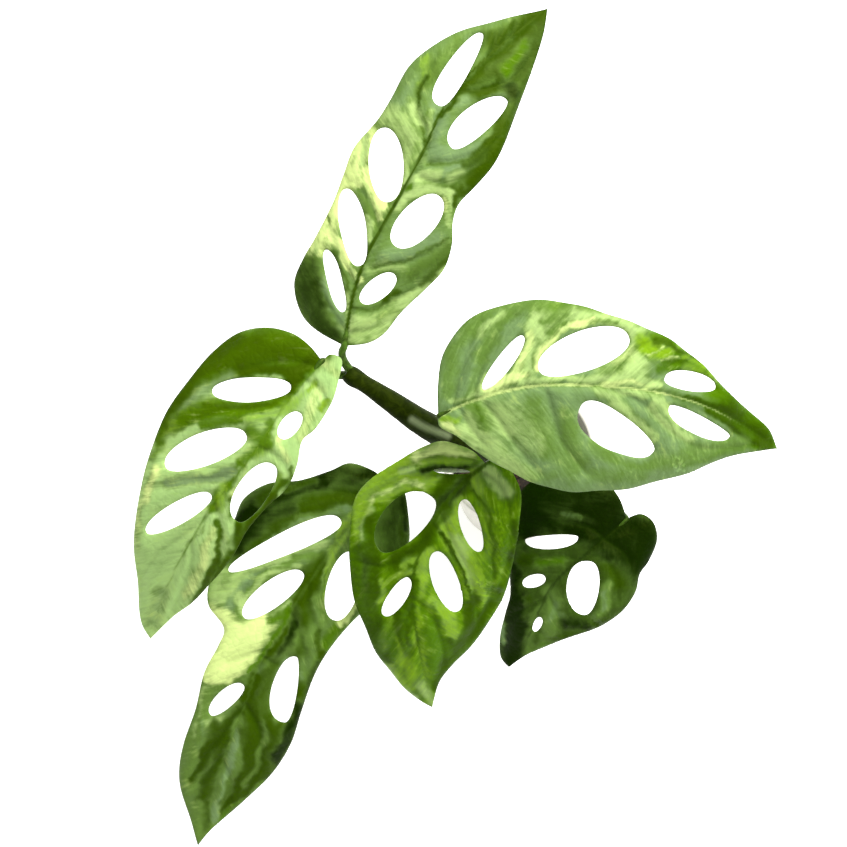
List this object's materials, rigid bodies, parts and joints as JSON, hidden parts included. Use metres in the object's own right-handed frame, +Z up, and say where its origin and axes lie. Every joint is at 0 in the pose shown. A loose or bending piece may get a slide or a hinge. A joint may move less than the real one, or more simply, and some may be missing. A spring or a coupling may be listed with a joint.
{
  "type": "potted variegated swiss cheese vine",
  "caption": "Young vine with holed, variegated heart-shaped leaves on long stalks, growing out of potting mix in a small plain round pot.",
  "frame": {"origin": "middle of the pot's flat base, on the surface that the pot stands on", "axes": "+Z up, +Y the way the top leaf points, -Y the side that the lower leaves hang towards"},
  "size_m": [0.2163, 0.2633, 0.2018],
  "materials": {
    "pot": "satin",
    "soil": "matte",
    "stem": "satin",
    "leaf": "satin"
  },
  "bodies": {
    "root": {"pot": "pot", "soil": "soil", "stem": "stem", "leaf_top": "leaf", "leaf_left": "leaf", "leaf_low_left": "leaf", "leaf_centre": "leaf", "leaf_right": "leaf", "leaf_low_right": "leaf"}
  },
  "joints": []
}
